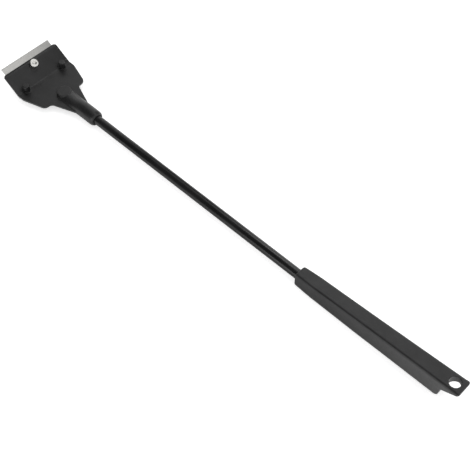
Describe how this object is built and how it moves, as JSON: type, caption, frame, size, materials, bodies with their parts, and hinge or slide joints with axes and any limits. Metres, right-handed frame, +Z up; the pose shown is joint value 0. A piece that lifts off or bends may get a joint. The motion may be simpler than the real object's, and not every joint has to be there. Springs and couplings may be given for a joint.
{
  "type": "aquarium algae scraper",
  "caption": "Long-handled algae scraper: a black moulded head clamps a single-edge blade under a tilted jaw, a thin round rod joins it to a tapered hand grip with a hanging tab.",
  "frame": {"origin": "under the middle of the tool's length, on the surface that it lies on", "axes": "+X along the rod from the blade to the grip's tail, +Z up, out of the side with the screw's head"},
  "size_m": [0.3458, 0.0426, 0.0167],
  "materials": {
    "head_plastic": "fine moulded texture",
    "clamp_plastic": "fine moulded texture",
    "nut_steel": "bright",
    "screw_steel": "bright",
    "blade_steel": "rolled sheet, ground at the edge",
    "spine_steel": "rolled sheet",
    "rod_coating": "smooth black coating with a soft gloss",
    "grip_plastic": "matte moulded"
  },
  "bodies": {
    "handle": {"head_body": "head_plastic", "rod": "rod_coating", "grip": "grip_plastic"},
    "blade": {"blade_sheet": "blade_steel", "blade_spine": "spine_steel"},
    "clamp": {"clamp_plate": "clamp_plastic", "clamp_nut": "nut_steel"},
    "screw": {"clamp_screw": "screw_steel"}
  },
  "joints": [
    {"name": "screw_turn", "type": "hinge", "parent": "handle", "child": "screw", "pos_m": [-0.16468, 0, 0.01174], "axis": [0.5446, 0, 0.8387], "range_deg": [0, 630]},
    {"name": "clamp_slide", "type": "slide", "parent": "handle", "child": "clamp", "axis": [-0.5446, 0, -0.8387], "range_m": [0, 0.000875]},
    {"name": "blade_slide", "type": "slide", "parent": "handle", "child": "blade", "axis": [-0.8387, 0, 0.5446], "range_m": [0, 0.0009]}
  ],
  "couplings": [
    {"joint": "screw_turn", "follows": "clamp_slide", "rad_per_m": 12566}
  ]
}
